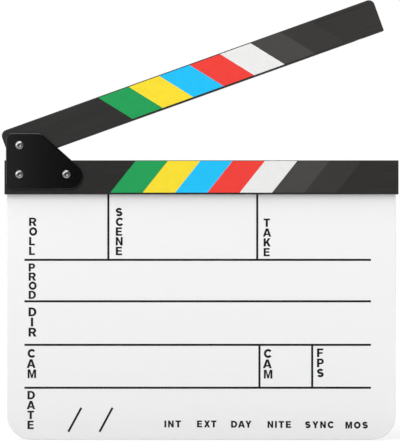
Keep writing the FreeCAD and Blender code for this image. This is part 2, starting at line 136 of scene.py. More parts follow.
def vary_colour(tree, surface, pattern, dark, light):
    """Colours a surface from dark to light by a pattern."""
    ramp = add_node(tree, "ShaderNodeValToRGB")
    ends = ramp.color_ramp.elements
    ends[0].position = PATTERN_LOW
    ends[0].color = (*dark, 1)
    ends[1].position = PATTERN_HIGH
    ends[1].color = (*light, 1)
    tree.links.new(pattern, ramp.inputs["Fac"])
    tree.links.new(ramp.outputs["Color"], surface.inputs["Base Color"])


def vary_roughness(tree, surface, pattern, smooth, rough):
    """Makes a surface's roughness follow a pattern."""
    spread = add_node(
        tree,
        "ShaderNodeMapRange",
        From_Min=PATTERN_LOW,
        From_Max=PATTERN_HIGH,
        To_Min=smooth,
        To_Max=rough,
    )
    tree.links.new(pattern, spread.inputs["Value"])
    tree.links.new(spread.outputs["Result"], surface.inputs["Roughness"])


def add_relief(tree, surface, pattern, depth, strength=1.0):
    """Lays a pattern on a surface as relief of that depth, over any relief that it has."""
    bump = add_node(tree, "ShaderNodeBump", Strength=strength, Distance=depth)
    tree.links.new(pattern, bump.inputs["Height"])
    under = surface.inputs["Normal"]
    if under.is_linked:
        tree.links.new(under.links[0].from_socket, bump.inputs["Normal"])
    tree.links.new(bump.outputs["Normal"], under)


def acrylic_finish():
    """White dry-erase acrylic: a hard gloss, hazed a little where it has been wiped."""
    finish, tree, surface = new_finish("white_acrylic")
    wiped = mottle(tree, size=0.04, detail=6.0, stretch=(3, 1, 1), turn=math.radians(20))
    vary_colour(tree, surface, wiped, dark=(0.886, 0.887, 0.885), light=(0.887, 0.888, 0.886))
    vary_roughness(tree, surface, wiped, smooth=0.276, rough=0.284)
    add_relief(tree, surface, mottle(tree, size=0.006, detail=2.0), depth=0.00001, strength=0.3)
    hairlines = mottle(tree, size=0.0003, detail=1.0, stretch=(120, 1, 1), turn=math.radians(-12))
    add_relief(tree, surface, hairlines, depth=0.000005, strength=0.3)
    return finish


slate = eased_copy("slate_board", "slate_sheet", SLATE_ARRIS)
slate.data.materials.append(acrylic_finish())
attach(slate, "slate")
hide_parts("slate_board")


# Field rules
# The lines that part the slate into fields, and the two date strokes: one pass of black screen ink,
# a few hundredths of a millimetre thick on the board's face.

INK_THICKNESS = 0.00004
RULE_WIDTH = 0.0016
RULE_LEFT = -0.1350
RULE_RIGHT = 0.1292
ROW_LEVELS = (0.1370, 0.1054, 0.0722, 0.0395)
TOP_ROW_DIVIDERS = (-0.0710, 0.0425)
CAMERA_ROW_DIVIDERS = (0.0442, 0.0844)
DATE_STROKE_FEET = (-0.1015, -0.0777)
DATE_STROKE_LEAN = 0.0099
DATE_STROKE_SPAN = (0.0059, 0.0243)

slate_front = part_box("slate_board")[0].y
stick_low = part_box("lower_stick")[0]


def new_geometry_tree(name, inputs):
    """A geometry tree with a geometry in and out, and named inputs of the kinds given."""
    tree = bpy.data.node_groups.new(name, "GeometryNodeTree")
    tree.interface.new_socket("Geometry", in_out="INPUT", socket_type="NodeSocketGeometry")
    tree.interface.new_socket("Geometry", in_out="OUTPUT", socket_type="NodeSocketGeometry")
    for label, kind in inputs.items():
        tree.interface.new_socket(label, in_out="INPUT", socket_type=kind)
    return tree, tree.nodes.new("NodeGroupInput"), tree.nodes.new("NodeGroupOutput")


def run_geometry_tree(piece, tree, values):
    """Runs a tree on a piece with those inputs, and keeps the result as the piece's own mesh."""
    maker = piece.modifiers.new(tree.name, "NODES")
    maker.node_group = tree
    for socket in tree.interface.items_tree:
        if socket.name in values:
            maker[socket.identifier] = values[socket.name]
    return as_plain_mesh(piece)


def ink_line_tree():
    """Each edge of a flat drawing becomes a level stroke of ink, square at its ends."""
    tree, given, result = new_geometry_tree(
        "ink_lines",
        {"Line width": "NodeSocketFloat", "Thickness": "NodeSocketFloat", "Ink": "NodeSocketMaterial"},
    )
    lines = add_node(tree, "GeometryNodeMeshToCurve")
    level = add_node(tree, "GeometryNodeSetCurveNormal")
    level.mode = "Z_UP"
    section = add_node(tree, "GeometryNodeCurvePrimitiveQuadrilateral")
    stroke = add_node(tree, "GeometryNodeCurveToMesh", Fill_Caps=True)
    real = add_node(tree, "GeometryNodeRealizeInstances")
    inked = add_node(tree, "GeometryNodeSetMaterial")
    tree.links.new(given.outputs["Geometry"], lines.inputs["Mesh"])
    tree.links.new(lines.outputs["Curve"], level.inputs["Curve"])
    tree.links.new(level.outputs["Curve"], stroke.inputs["Curve"])
    tree.links.new(given.outputs["Line width"], section.inputs["Width"])
    tree.links.new(given.outputs["Thickness"], section.inputs["Height"])
    tree.links.new(section.outputs["Curve"], stroke.inputs["Profile Curve"])
    tree.links.new(stroke.outputs["Mesh"], real.inputs["Geometry"])
    tree.links.new(real.outputs["Geometry"], inked.inputs["Geometry"])
    tree.links.new(given.outputs["Ink"], inked.inputs["Material"])
    tree.links.new(inked.outputs["Geometry"], result.inputs["Geometry"])
    return tree


def ink_finish():
    """Black screen ink, nearly matt, with the faint unevenness of one pulled pass."""
    finish, tree, surface = new_finish("screen_ink")
    pulled = mottle(tree, size=0.002, detail=4.0, stretch=(1, 1, 3))
    vary_colour(tree, surface, pulled, dark=(0.006, 0.006, 0.006), light=(0.011, 0.011, 0.012))
    vary_roughness(tree, surface, pulled, smooth=0.45, rough=0.6)
    add_relief(tree, surface, mottle(tree, size=0.0004), depth=0.00001, strength=0.4)
    surface.inputs["Specular IOR Level"].default_value = 0.25
    return finish


def stand_on_slate(mesh):
    """Stands a flat drawing, X across and Y up, on the face of the slate."""
    upright = Matrix.Rotation(math.radians(90), 4, "X")
    lift = Matrix.Translation((0, slate_front - INK_THICKNESS / 2, 0))
    mesh.transform(lift @ upright)


def field_lines():
    """The ends of every printed line, X across and Y up. Uprights stop at the edge of a level line."""
    half = RULE_WIDTH / 2
    lines = [((RULE_LEFT, level), (RULE_RIGHT, level)) for level in ROW_LEVELS]
    for x in TOP_ROW_DIVIDERS:
        lines.append(((x, ROW_LEVELS[0] + half), (x, stick_low.z)))
    for x in CAMERA_ROW_DIVIDERS:
        lines.append(((x, ROW_LEVELS[3] + half), (x, ROW_LEVELS[2] - half)))
    foot, head = DATE_STROKE_SPAN
    for x in DATE_STROKE_FEET:
        lines.append(((x, foot), (x + DATE_STROKE_LEAN, head)))
    return lines


screen_ink = ink_finish()
drawing = bpy.data.meshes.new("field_rules")
ends = [Vector((*end, 0)) for line in field_lines() for end in line]
drawing.from_pydata(ends, [(i, i + 1) for i in range(0, len(ends), 2)], [])
rules = new_piece("field_rules", drawing)
run_geometry_tree(
    rules,
    ink_line_tree(),
    {"Line width": RULE_WIDTH, "Thickness": INK_THICKNESS, "Ink": screen_ink},
)
stand_on_slate(rules.data)
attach(rules, "slate")


# Field legends
# The names of the fields in plain block capitals, most of them stacked letter under letter at the
# left end of a field. They are printed with the rules, in the same ink.

STEM = 0.275
BAR = 0.22
CURVE = 0.27
STACK_WIDTH = 0.0054
# Word, left edge, middle of the first letter, step down to the next letter, cap height
STACKS = (
    ("ROLL", -0.1315, 0.1660, 0.00738, 0.00645),
    ("SCENE", -0.0654, 0.1734, 0.00741, 0.00655),
    ("TAKE", 0.0473, 0.1653, 0.00747, 0.00640),
    ("PROD", -0.1318, 0.1312, 0.00696, 0.00630),
    ("DIR", -0.1319, 0.0973, 0.00771, 0.00680),
    ("CAM", -0.1326, 0.0657, 0.00779, 0.00675),
    ("CAM", 0.0475, 0.0656, 0.00788, 0.00680),
    ("FPS", 0.0880, 0.0661, 0.00767, 0.00665),
    ("DATE", -0.1327, 0.0339, 0.00757, 0.00650),
)
ROW_CAP = 0.00520
ROW_GAP = 0.0014
# Word, its middle across, its middle up
ROW_WORDS = (
    ("INT", -0.0220, 0.0119),
    ("EXT", 0.0040, 0.0119),
    ("DAY", 0.0303, 0.0117),
    ("NITE", 0.0593, 0.0115),
    ("SYNC", 0.0899, 0.0113),
    ("MOS", 0.1183, 0.0110),
)
CENTRED = ("I", "A")
CLOSE_GAPS = {("A", "Y"): 0.0003, ("D", "A"): 0.0006, ("X", "T"): 0.0008}
STACK_SPREAD = -0.00006
ROW_SPREAD = 0.00002


def bow(centre, radii, start, end, steps=16):
    """Points along an arc of an ellipse between two angles in degrees."""
    angles = [math.radians(start + (end - start) * i / steps) for i in range(steps + 1)]
    return [(centre[0] + radii[0] * math.cos(a), centre[1] + radii[1] * math.sin(a)) for a in angles]


def ribbon(path, width):
    """The outline of a stroke of one width along a smooth path."""
    points = [Vector(p) for p in path]
    left = []
    right = []
    for before, here, after in zip(points[:1] + points, points, points[1:] + points[-1:]):
        along = (after - before).normalized()
        aside = Vector((-along.y, along.x)) * width / 2
        left.append(here + aside)
        right.append(here - aside)
    return right + left[::-1]


def block_capitals():
    """Outlines of the capitals used, in cap heights from the left foot. A second outline is a hole."""
    top = 1 - BAR
    letters = {
        "I": [[(0, 0), (STEM, 0), (STEM, 1), (0, 1)]],
        "L": [[(0, 0), (0.71, 0), (0.71, BAR), (STEM, BAR), (STEM, 1), (0, 1)]],
        "T": [[(0.25, 0), (0.53, 0), (0.53, top), (0.78, top), (0.78, 1), (0, 1), (0, top), (0.25, top)]],
        "E": [
            [(0, 0), (0.75, 0), (0.75, BAR), (STEM, BAR), (STEM, 0.41), (0.69, 0.41)]
            + [(0.69, 0.61), (STEM, 0.61), (STEM, top), (0.73, top), (0.73, 1), (0, 1)]
        ],
        "F": [
            [(0, 0), (STEM, 0), (STEM, 0.38), (0.66, 0.38), (0.66, 0.58)]
            + [(STEM, 0.58), (STEM, top), (0.74, top), (0.74, 1), (0, 1)]
        ],
        "N": [
            [(0, 0), (0.25, 0), (0.25, 0.58), (0.57, 0), (0.82, 0)]
            + [(0.82, 1), (0.57, 1), (0.57, 0.42), (0.25, 1), (0, 1)]
        ],
        "M": [
            [(0, 0), (0.24, 0), (0.24, 0.64), (0.385, 0.02), (0.585, 0.02), (0.73, 0.64), (0.73, 0)]
            + [(0.97, 0), (0.97, 1), (0.67, 1), (0.485, 0.40), (0.30, 1), (0, 1)]
        ],
        "A": [
            [(0, 0), (0.28, 0), (0.345, 0.19), (0.675, 0.19), (0.74, 0), (1.02, 0), (0.665, 1), (0.355, 1)],
            [(0.41, 0.38), (0.61, 0.38), (0.51, 0.68)],
        ],
        "K": [
            [(0, 0), (STEM, 0), (STEM, 0.27), (0.36, 0.38), (0.56, 0), (0.87, 0)]
            + [(0.56, 0.58), (0.85, 1), (0.55, 1), (STEM, 0.60), (STEM, 1), (0, 1)]
        ],
        "X": [
            [(0, 0), (0.30, 0), (0.445, 0.27), (0.59, 0), (0.89, 0), (0.60, 0.51)]
            + [(0.87, 1), (0.58, 1), (0.445, 0.75), (0.31, 1), (0.02, 1), (0.29, 0.51)]
        ],
        "Y": [
            [(0.305, 0), (0.575, 0), (0.575, 0.40), (0.88, 1), (0.59, 1)]
            + [(0.44, 0.66), (0.29, 1), (0, 1), (0.305, 0.40)]
        ],
        "D": [
            [(0, 0), *bow((0.40, 0.5), (0.50, 0.5), -90, 90), (0, 1)],
            [(STEM, BAR), *bow((0.38, 0.5), (0.24, 0.275), -90, 90), (STEM, top)],
        ],
        "P": [
            [(0, 0), (STEM, 0), (STEM, 0.34), *bow((0.47, 0.67), (0.33, 0.33), -90, 90), (0, 1)],
            [(STEM, 0.55), *bow((0.42, 0.6625), (0.12, 0.1125), -90, 90), (STEM, top)],
        ],
        "R": [
            [(0, 0), (STEM, 0), (STEM, 0.36), (0.40, 0.36), (0.60, 0), (0.92, 0)]
            + [(0.68, 0.41), *bow((0.52, 0.685), (0.35, 0.315), -60, 90), (0, 1)],
            [(STEM, 0.56), *bow((0.46, 0.6675), (0.13, 0.1075), -90, 90), (STEM, top)],
        ],
        "O": [
            bow((0.49, 0.5), (0.49, 0.515), 0, 345, steps=23),
            bow((0.49, 0.5), (0.49 - CURVE, 0.515 - CURVE), 0, 345, steps=23),
        ],
        "C": [ribbon(bow((0.49, 0.5), (0.355, 0.375), 37, 323, steps=24), CURVE)],
        "S": [
            ribbon(
                bow((0.40, 0.685), (0.255, 0.185), 20, 270)[:-1]
                + bow((0.40, 0.315), (0.265, 0.185), 90, -160),
                CURVE,
            )
        ],
    }
    return {
        name: [[Vector(point) for point in outline] for outline in outlines]
        for name, outlines in letters.items()
    }


def letter_width(outlines):
    """How far a letter reaches across, in cap heights."""
    across = [point.x for point in outlines[0]]
    return max(across) - min(across)


def spread_edge(outline, spread):
    """An outline moved outwards all round by a distance, or inwards where it is below 0."""
    moved = []
    for before, here, after in zip(outline[-1:] + outline[:-1], outline, outline[1:] + outline[:1]):
        arriving = (here - before).normalized()
        leaving = (after - here).normalized()
        outwards = Vector((arriving.y + leaving.y, -arriving.x - leaving.x))
        moved.append(here + outwards * spread / (1 + arriving.dot(leaving)))
    return moved


def add_letter(ink, outlines, left, foot, cap, spread):
    """Draws a letter's outlines, its left edge and its foot at a point, with its ink spread a little."""
    start = min(point.x for point in outlines[0])
    for outline in outlines:
        outwards = spread if outline is outlines[0] else -spread
        edge = spread_edge(outline, outwards / cap)
        spline = ink.splines.new("POLY")
        spline.points.add(len(edge) - 1)
        spline.use_cyclic_u = True
        for drawn, point in zip(spline.points, edge):
            drawn.co = (left + (point.x - start) * cap, foot + point.y * cap, 0, 1)


capitals = block_capitals()
ink_outlines = bpy.data.curves.new("legend_outlines", "CURVE")
ink_outlines.dimensions = "2D"
ink_outlines.fill_mode = "BOTH"
ink_outlines.extrude = INK_THICKNESS / 2
for word, margin, first_level, pitch, cap in STACKS:
    for row, name in enumerate(word):
        left = margin
        if name in CENTRED:
            left += (STACK_WIDTH - letter_width(capitals[name]) * cap) / 2
        foot = first_level - row * pitch - cap / 2
        add_letter(ink_outlines, capitals[name], left, foot, cap, STACK_SPREAD)
for word, middle, level in ROW_WORDS:
    widths = [letter_width(capitals[name]) * ROW_CAP for name in word]
    gaps = [CLOSE_GAPS.get(pair, ROW_GAP) for pair in zip(word, word[1:])]
    left = middle - (sum(widths) + sum(gaps)) / 2
    for name, width, gap in zip(word, widths, [*gaps, 0]):
        add_letter(ink_outlines, capitals[name], left, level - ROW_CAP / 2, ROW_CAP, ROW_SPREAD)
        left += width + gap
outlined = new_piece("legend_outlines", ink_outlines)
drawn_outlines = outlined.evaluated_get(bpy.context.evaluated_depsgraph_get())
legend_mesh = bpy.data.meshes.new_from_object(drawn_outlines)
bpy.data.objects.remove(outlined)
stand_on_slate(legend_mesh)
legend_mesh.materials.append(screen_ink)
legends = new_piece("field_legends", legend_mesh)
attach(legends, "slate")


# Lower stick
# A planed hardwood bar, grooved along its underside for the slate, its edges broken, sprayed smooth
# charcoal. It carries the lower half of the striped pattern.

STICK_ARRIS = 0.00018
# Painted shade: the sticks' colour darkens towards the hinge, so that their free ends look more brightly
# lit
PAINTED_HINGE_SHADE = (0.74, 0.765, 0.78)
PAINTED_SHADE_START = 0.13
PAINTED_SHADE_FULL = 0.0


def paint_shade_towards_hinge(tree, surface):
    """Darkens a stick's colour towards the hinge as painted shade, so that its free end looks more brightly
    lit.
    """
    place = add_node(tree, "ShaderNodeTexCoord")
    axes = add_node(tree, "ShaderNodeSeparateXYZ")
    along = add_node(tree, "ShaderNodeMapRange", From_Min=PAINTED_SHADE_FULL, From_Max=PAINTED_SHADE_START)
    ramp = add_node(tree, "ShaderNodeValToRGB")
    ramp.color_ramp.elements[0].color = (*PAINTED_HINGE_SHADE, 1)
    shaded = add_node(tree, "ShaderNodeVectorMath")
    shaded.operation = "MULTIPLY"
    colour = surface.inputs["Base Color"]
    tree.links.new(place.outputs["Object"], axes.inputs["Vector"])
    tree.links.new(axes.outputs["X"], along.inputs["Value"])
    tree.links.new(along.outputs["Result"], ramp.inputs["Fac"])
    tree.links.new(colour.links[0].from_socket, shaded.inputs[0])
    tree.links.new(ramp.outputs["Color"], shaded.inputs[1])
    tree.links.new(shaded.outputs["Vector"], colour)


def stick_finish(name, grain_angle, dark, light):
    """Charcoal paint sprayed on planed hardwood, with the grain just showing along the stick."""
    finish, tree, surface = new_finish(name)
    grain = mottle(tree, size=0.0007, detail=4.0, stretch=(60, 2, 1), turn=grain_angle)
    vary_colour(tree, surface, grain, dark, light)
    # Painted shade, darker towards the hinge
    paint_shade_towards_hinge(tree, surface)
    vary_roughness(tree, surface, mottle(tree, size=0.012), smooth=0.5, rough=0.62)
    add_relief(tree, surface, grain, depth=0.00004, strength=0.35)
    add_relief(tree, surface, mottle(tree, size=0.0005, detail=2.0), depth=0.00001, strength=0.3)
    surface.inputs["Specular IOR Level"].default_value = 0.3
    return finish


lower_paint = stick_finish(
    "charcoal_paint_lower",
    grain_angle=0.0,
    dark=(0.022, 0.0206, 0.0193),
    light=(0.032, 0.0301, 0.0284),
)
lower_stick = eased_copy("lower_stick", "lower_clap_stick", STICK_ARRIS)
lower_stick.data.materials.append(lower_paint)
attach(lower_stick, "slate")
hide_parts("lower_stick")


# Clap stick
# The upper bar of the same hardwood and paint, a little thinner to swing between the plates. Its
# heel is rounded clear of the lower stick, and it turns on the pivot sleeve.

rest_angle = math.radians(-frame["joints"][0]["range_deg"][0])
# Painted light: the upper stick's paint is set lighter than the lower stick's, though both are one paint
upper_paint_lit_lighter = stick_finish(
    "charcoal_paint_upper",
    grain_angle=rest_angle,
    dark=(0.028, 0.0263, 0.0247),
    light=(0.0396, 0.0372, 0.0352),
)
upper_stick = eased_copy("upper_stick", "upper_clap_stick", STICK_ARRIS)
upper_stick.data.materials.append(upper_paint_lit_lighter)
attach(upper_stick, "clap_stick")
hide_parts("upper_stick")


# Latch magnets
# Two nickel-plated discs pressed into blind holes in the meeting edges, near the free end. They
# hold the sticks shut and sharpen the clap.

MAGNET_ARRIS = 0.00008


def nickel_finish():
    """Bright nickel plate with the fine scuffs of many closings."""
    finish, tree, surface = new_finish("nickel_plate")
    scuffs = mottle(tree, size=0.0006, detail=4.0, stretch=(4, 1, 1))
    vary_colour(tree, surface, scuffs, dark=(0.62, 0.60, 0.56), light=(0.74, 0.72, 0.68))
    vary_roughness(tree, surface, scuffs, smooth=0.14, rough=0.3)
    add_relief(tree, surface, scuffs, depth=0.000005, strength=0.5)
    surface.inputs["Metallic"].default_value = 1.0
    return finish


nickel = nickel_finish()
for node, body in (("lower_magnet", "slate"), ("upper_magnet", "clap_stick")):
    magnet = eased_copy(node, f"{node}_disc", MAGNET_ARRIS)
    magnet.data.materials.append(nickel)
    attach(magnet, body)
    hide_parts(node)


# Pivot washers
# Thin natural nylon rings on the pivot sleeve, one each side of the clap stick. They take the rub
# and set the drag that holds the stick open.

WASHER_ARRIS = 0.00006


def nylon_finish():
    """Milky natural nylon, faintly waxy."""
    finish, tree, surface = new_finish("natural_nylon")
    cloud = mottle(tree, size=0.003)
    vary_colour(tree, surface, cloud, dark=(0.70, 0.69, 0.64), light=(0.78, 0.77, 0.73))
    vary_roughness(tree, surface, cloud, smooth=0.38, rough=0.5)
    add_relief(tree, surface, mottle(tree, size=0.0004), depth=0.00001, strength=0.4)
    surface.inputs["Subsurface Weight"].default_value = 0.15
    surface.inputs["Subsurface Scale"].default_value = 0.001
    return finish


nylon = nylon_finish()
for node in ("front_pivot_washer", "rear_pivot_washer"):
    washer = eased_copy(node, f"{node}_ring", WASHER_ARRIS)
    washer.data.materials.append(nylon)
    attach(washer, "slate")
    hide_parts(node)


# Hinge plates
# Two cheeks stamped from steel sheet and coated satin black, one on each face of the sticks. They
# are clamped to the lower stick and carry the pivot above it.

PLATE_ARRIS = 0.0003


def plate_finish():
    """Satin black coating over stamped steel, with the fine orange peel of a baked coat."""
    finish, tree, surface = new_finish("satin_black_coat")
    coat = mottle(tree, size=0.004, detail=4.0)
    vary_colour(tree, surface, coat, dark=(0.0022, 0.0022, 0.0023), light=(0.0030, 0.0029, 0.0030))
    vary_roughness(tree, surface, coat, smooth=0.20, rough=0.24)
    add_relief(tree, surface, mottle(tree, size=0.0006, detail=2.0), depth=0.000006, strength=0.2)
    surface.inputs["Specular IOR Level"].default_value = 0.25
    return finish


satin_black = plate_finish()
for side in ("front", "rear"):
    node = f"{side}_hinge_plate"
    plate = eased_copy(node, f"{side}_cheek_plate", PLATE_ARRIS, steps=3)
    plate.data.materials.append(satin_black)
    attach(plate, "slate")
    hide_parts(node)


# Binding screws and sleeve nuts
# Turned stainless fasteners with button heads and hexagon sockets. Each screw comes through the
# front plate into a sleeve nut from the rear: two clamp the lower stick and one is the pivot.

TURNED_STEPS = 48
HEAD_RIM = 0.0004
HEAD_FLAT_RADIUS = 0.0016
SOCKET_HALF_WIDTH = 0.0010
SOCKET_DEPTH = 0.0013
SOCKET_TIP_DEPTH = 0.00035
SOCKET_TIP_RADIUS = 0.0001
SOCKET_LIP = 0.0001
SOCKET_MOUTH_RADIUS = 0.00128
EDGE_BREAK = 0.00008
DOME_RINGS = 8
SHANK_RADIUS = 0.0020
SHANK_TIP_CHAMFER = 0.0005
SLEEVE_RADIUS = 0.0025
SLEEVE_BORE_RADIUS = 0.00205
SLEEVE_FLOOR = 0.0020
SCREW_CLOCKING = {"pivot": 8.0, "left_fixing": 41.0, "right_fixing": 23.0}
NUT_CLOCKING = {"pivot": 35.0, "left_fixing": 12.0, "right_fixing": 50.0}
SHARP_ANGLE = math.radians(32)
LATHE_RING_SCALE = 0.00004

plate_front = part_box("front_hinge_plate")[0].y
screw_low, screw_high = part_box("pivot_screw")
nut_low, nut_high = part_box("pivot_sleeve_nut")
head_radius = (screw_high.x - screw_low.x) / 2


def round_ring(radius, level):
    """A ring of points about the Y axis."""
    turns = [math.tau * i / TURNED_STEPS for i in range(TURNED_STEPS)]
    return [Vector((radius * math.cos(a), level, radius * math.sin(a))) for a in turns]


def hexagon_ring(half_width, level):
    """A ring of points on a hexagon about the Y axis, given its half width across the flats."""
    side = math.radians(60)
    points = []
    for point in round_ring(half_width, level):
        from_flat = math.atan2(point.z, point.x) % side - side / 2
        reach = 1 / math.cos(from_flat)
        points.append(Vector((point.x * reach, level, point.z * reach)))
    return points


def button_head(top, seat):
    """Rings from the socket's floor, out over the domed head and down to its seat."""
    rise = seat - top
    dome_foot = seat - HEAD_RIM
    dome_rise = rise - HEAD_RIM
    centre_drop = (head_radius**2 - HEAD_FLAT_RADIUS**2 - dome_rise**2) / (2 * dome_rise)
    dome_radius = math.hypot(head_radius, centre_drop)
    flat_angle = math.acos(HEAD_FLAT_RADIUS / dome_radius)
    rim_angle = math.acos(head_radius / dome_radius)
    floor = top + SOCKET_DEPTH
    rings = [
        round_ring(SOCKET_TIP_RADIUS, floor + SOCKET_TIP_DEPTH),
        hexagon_ring(SOCKET_HALF_WIDTH, floor),
        hexagon_ring(SOCKET_HALF_WIDTH, top + SOCKET_LIP),
        round_ring(SOCKET_MOUTH_RADIUS, top),
    ]
    for i in range(DOME_RINGS + 1):
        angle = flat_angle + (rim_angle - flat_angle) * i / DOME_RINGS
        level = dome_foot + centre_drop - dome_radius * math.sin(angle)
        rings.append(round_ring(dome_radius * math.cos(angle), level))
    rings.append(round_ring(head_radius, seat - EDGE_BREAK))
    rings.append(round_ring(head_radius - EDGE_BREAK, seat))
    return rings


def turned_mesh(name, rings):
    """A closed mesh lofted through rings, with each point's distance from the axis for lathe marks."""
    shell = bmesh.new()
    loops = [[shell.verts.new(point) for point in ring] for ring in rings]
    for near, far in zip(loops, loops[1:]):
        for i in range(TURNED_STEPS):
            j = (i + 1) % TURNED_STEPS
            shell.faces.new((near[i], near[j], far[j], far[i]))
    shell.faces.new(loops[0])
    shell.faces.new(loops[-1])
    bmesh.ops.recalc_face_normals(shell, faces=shell.faces)
    mesh = bpy.data.meshes.new(name)
    shell.to_mesh(mesh)
    shell.free()
    mesh.shade_smooth()
    mesh.set_sharp_from_angle(angle=SHARP_ANGLE)
    radius = mesh.attributes.new("turned_radius", "FLOAT", "POINT")
    for vertex, stored in zip(mesh.vertices, radius.data):
        stored.value = math.hypot(vertex.co.x, vertex.co.z)
    return mesh


def fastener_tree():
    """Sets a fastener at each point, turned about its axis by the point's clocking."""
    tree, given, result = new_geometry_tree(
        "set_fasteners", {"Fastener": "NodeSocketObject", "Metal": "NodeSocketMaterial"}
    )
    source = add_node(tree, "GeometryNodeObjectInfo")
    clocking = add_node(tree, "GeometryNodeInputNamedAttribute", Name="clocking")
    turn = add_node(tree, "FunctionNodeAxisAngleToRotation", Axis=(0, 1, 0))
    placed = add_node(tree, "GeometryNodeInstanceOnPoints")
    real = add_node(tree, "GeometryNodeRealizeInstances")
    finished = add_node(tree, "GeometryNodeSetMaterial")
    tree.links.new(given.outputs["Fastener"], source.inputs["Object"])
    tree.links.new(clocking.outputs["Attribute"], turn.inputs["Angle"])
    tree.links.new(given.outputs["Geometry"], placed.inputs["Points"])
    tree.links.new(source.outputs["Geometry"], placed.inputs["Instance"])
    tree.links.new(turn.outputs["Rotation"], placed.inputs["Rotation"])
    tree.links.new(placed.outputs["Instances"], real.inputs["Geometry"])
    tree.links.new(real.outputs["Geometry"], finished.inputs["Geometry"])
    tree.links.new(given.outputs["Metal"], finished.inputs["Material"])
    tree.links.new(finished.outputs["Geometry"], result.inputs["Geometry"])
    return tree


def steel_finish():
    """Bright stainless steel with fine lathe rings about each fastener's axis, and painted shade in its
    socket.
    """
    finish, tree, surface = new_finish("turned_stainless")
    radius = add_node(tree, "ShaderNodeAttribute")
    radius.attribute_name = "turned_radius"
    phase = add_node(tree, "ShaderNodeMath")
    phase.operation = "DIVIDE"
    phase.inputs[1].default_value = LATHE_RING_SCALE
    rings = add_node(tree, "ShaderNodeMath")
    rings.operation = "SINE"
    tree.links.new(radius.outputs["Fac"], phase.inputs[0])
    tree.links.new(phase.outputs["Value"], rings.inputs[0])
    add_relief(tree, surface, rings.outputs["Value"], depth=0.000004, strength=0.3)
    # Painted shade: the colour darkens inside the hexagon socket
    socket_painted_shade = add_node(
        tree, "ShaderNodeMapRange", From_Min=SOCKET_HALF_WIDTH, From_Max=SOCKET_MOUTH_RADIUS
    )
    tree.links.new(radius.outputs["Fac"], socket_painted_shade.inputs["Value"])
    vary_colour(tree, surface, socket_painted_shade.outputs["Result"], dark=(0.45, 0.44, 0.42), light=(0.54, 0.53, 0.51))
    stain = mottle(tree, size=0.0015, detail=4.0)
    vary_roughness(tree, surface, stain, smooth=0.28, rough=0.36)
    surface.inputs["Metallic"].default_value = 1.0
    return finish


screw_rings = button_head(screw_low.y, plate_front) + [
    round_ring(SHANK_RADIUS, plate_front),
    round_ring(SHANK_RADIUS, screw_high.y - SHANK_TIP_CHAMFER),
    round_ring(SHANK_RADIUS - SHANK_TIP_CHAMFER, screw_high.y),
]
nut_rings = button_head(-nut_high.y, plate_front) + [
    round_ring(SLEEVE_RADIUS, plate_front),
    round_ring(SLEEVE_RADIUS, -nut_low.y),
    round_ring(SLEEVE_BORE_RADIUS, -nut_low.y),
    round_ring(SLEEVE_BORE_RADIUS, plate_front + SLEEVE_FLOOR),
]
stainless = steel_finish()
set_fasteners = fastener_tree()
for name, rings, facing, kind, clockings in (
    ("button_screws", screw_rings, 0.0, "screw", SCREW_CLOCKING),
    ("sleeve_nuts", nut_rings, math.pi, "sleeve_nut", NUT_CLOCKING),
):
    pattern_mesh = turned_mesh(f"one_{kind}", rings)
    pattern_mesh.transform(Matrix.Rotation(facing, 4, "Z"))
    pattern = new_piece(f"one_{kind}", pattern_mesh)
    nodes = [f"{spot}_{kind}" for spot in clockings]
    corners = [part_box(node) for node in nodes]
    seats = bpy.data.meshes.new(name)
    seats.from_pydata([((a.x + b.x) / 2, 0, (a.z + b.z) / 2) for a, b in corners], [], [])
    clocking = seats.attributes.new("clocking", "FLOAT", "POINT")
    for stored, angle in zip(clocking.data, clockings.values()):
        stored.value = math.radians(angle)
    fasteners = new_piece(name, seats)
    run_geometry_tree(fasteners, set_fasteners, {"Fastener": pattern, "Metal": stainless})
    bpy.data.objects.remove(pattern)
    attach(fasteners, "slate")
    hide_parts(*nodes)


# Stripe films
# Satin printed film in seven slanting bands on the front of each stick, leaning one way above and
# the other way below. Each band is a piece of its own, laid edge to edge with the next.

STRIPE_COLOURS = {
    "green": (0.008, 0.343, 0.089),
    "yellow": (0.92, 0.712, 0.023),
    "blue": (0.005, 0.517, 0.918),
    "red": (0.855, 0.044, 0.033),
    "white": (0.80, 0.80, 0.794),
    "mid_grey": (0.062, 0.060, 0.056),
    "dark_grey": (0.039, 0.0375, 0.035),
}
STRIPE_SHADE = 0.96


def film_finish(colour_name, colour):
    """Satin printed film: even colour, a soft sheen and the ghost of the wood under it."""
    finish, tree, surface = new_finish(f"film_{colour_name}")
    press = mottle(tree, size=0.006, detail=4.0)
    vary_colour(tree, surface, press, [STRIPE_SHADE * c for c in colour], colour)
    vary_roughness(tree, surface, press, smooth=0.42, rough=0.52)
    add_relief(tree, surface, mottle(tree, size=0.0008, detail=2.0), depth=0.00001, strength=0.3)
    surface.inputs["Specular IOR Level"].default_value = 0.3
    return finish


for colour_name, colour in STRIPE_COLOURS.items():
    film = film_finish(colour_name, colour)
    for stick in ("upper", "lower"):
        frame["nodes"][f"{stick}_{colour_name}_stripe"].material_slots[0].material = film


# Studio
# A plain pale floor that runs out to a white surround. A large soft lamp stands high at the left and
# a wide one hangs overhead, with a low fill at the right, one more behind and a strip at the left.
# The small cards about the hinge are seen only as sheen, most of all on its plate and screws.

FLOOR_REACH = 6.0
FLOOR_FRONT = -0.09
FLOOR_COLOUR = (0.40, 0.40, 0.40, 1)
LIT_REACH = 0.3
FADED_REACH = 2.0
NEAR_GLOW = 0.54
FAR_GLOW = 0.80
SURROUND_BEHIND = 1.0
SURROUND_FRONT = 0.05
FULLY_FRONT = -0.3
FULLY_BEHIND = 0.6
AMBIENT = 0.58
LAMP_TARGET = Vector((0, 0, 0.19))
